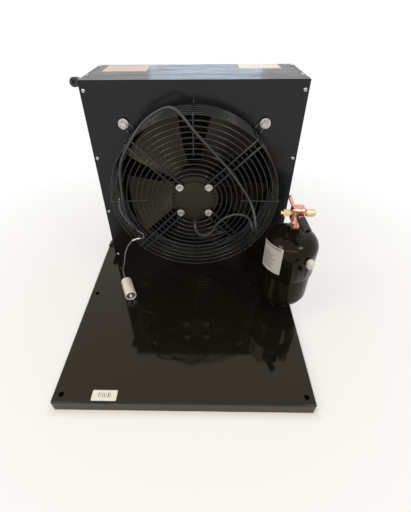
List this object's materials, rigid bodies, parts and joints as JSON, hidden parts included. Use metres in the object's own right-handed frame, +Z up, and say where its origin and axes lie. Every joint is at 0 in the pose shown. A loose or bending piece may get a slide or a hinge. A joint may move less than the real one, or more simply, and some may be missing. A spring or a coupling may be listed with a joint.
{
  "type": "refrigeration condensing unit",
  "caption": "Air-cooled condensing set: finned coil in a sheet housing, axial fan behind a wire guard, and an upright liquid receiver with shut-off valve on a folded base plate",
  "frame": {"origin": "middle of the four corner anchor holes, on the base plate's upper surface", "axes": "+X to the right seen from the fan side, +Y from the free front edge of the plate towards the coil, +Z up"},
  "size_m": [0.6215, 0.684, 0.5751],
  "materials": {
    "black_sheet": "semi-gloss black powder coat",
    "black_guard": "semi-gloss black enamel on wire",
    "motor_black": "semi-gloss black enamel",
    "impeller_black": "satin black moulded blades",
    "vessel_black": "gloss black enamel",
    "fin_aluminium": "black-brown coated fins",
    "copper": "bright copper tube",
    "brass": "turned brass",
    "zinc_steel": "bright zinc plate",
    "bearing_steel": "ground bearing steel",
    "lamination": "stacked laminations",
    "winding_copper": "varnished winding",
    "black_rubber": "black rubber",
    "white_plastic": "white moulded plastic",
    "cable_grey": "dark grey cable sheath",
    "wire_grey": "grey insulated wire"
  },
  "bodies": {
    "chassis": {"base_plate": "black_sheet", "fan_panel": "black_sheet", "top_panel": "black_sheet", "left_end_plate": "black_sheet", "right_side_panel": "black_sheet", "right_tube_sheet": "black_sheet", "coil_fin_pack": "fin_aluminium", "return_bends": "copper", "header_stubs": "copper", "header_stub_caps": "black_rubber", "panel_screws": "zinc_steel", "housing_foot_bolts": "zinc_steel", "guard_front_rings": "black_guard", "guard_side_rings": "black_guard", "guard_spokes": "black_guard", "guard_stays": "black_guard", "guard_washers": "zinc_steel", "guard_bolts": "zinc_steel", "guard_nuts": "zinc_steel", "motor_end_shield": "motor_black", "motor_washers": "zinc_steel", "motor_bolts": "zinc_steel", "bearing_outer_rings": "bearing_steel", "stator_core": "lamination", "stator_windings": "winding_copper", "receiver_lower_shell": "vessel_black", "receiver_upper_shell": "vessel_black", "receiver_weld_bead": "vessel_black", "receiver_foot": "vessel_black", "receiver_foot_stud": "zinc_steel", "receiver_foot_nut": "zinc_steel", "valve_boss": "vessel_black", "dip_tube": "copper", "valve_union_nut": "copper", "valve_body": "copper", "spindle_cap": "brass", "gauge_port_cap": "brass", "outlet_tube": "copper", "outlet_tube_cap": "black_rubber", "tapping_tube": "copper", "side_port_tube": "copper", "side_port_cap": "white_plastic", "fusible_plug": "brass", "earth_stud": "vessel_black", "capacitor_case": "white_plastic", "capacitor_end_disc": "zinc_steel", "lead_gland": "black_rubber", "motor_lead": "cable_grey", "supply_tail": "cable_grey", "splice_lead": "wire_grey", "capacitor_lead": "wire_grey", "splice_sleeve": "black_rubber", "lead_connectors": "zinc_steel"},
    "rotor": {"rotor_can": "motor_black", "rotor_cage": "lamination", "impeller": "impeller_black", "motor_shaft": "bearing_steel", "bearing_inner_rings": "bearing_steel"},
    "seat_plug": {"valve_plug": "brass"},
    "spindle": {"valve_spindle": "bearing_steel"}
  },
  "joints": [
    {"name": "fan_spin", "type": "hinge", "parent": "chassis", "child": "rotor", "pos_m": [0.0195, 0.1395, 0.2715], "axis": [0, 1, 0], "continuous": true},
    {"name": "plug_travel", "type": "slide", "parent": "chassis", "child": "seat_plug", "axis": [1, 0, 0], "range_m": [0, 0.006]},
    {"name": "spindle_turn", "type": "hinge", "parent": "seat_plug", "child": "spindle", "pos_m": [0.2625, -0.0325, 0.295], "axis": [1, 0, 0], "range_deg": [0, 1440]}
  ],
  "couplings": [
    {"joint": "spindle_turn", "follows": "plug_travel", "rad_per_m": 4188.7}
  ]
}
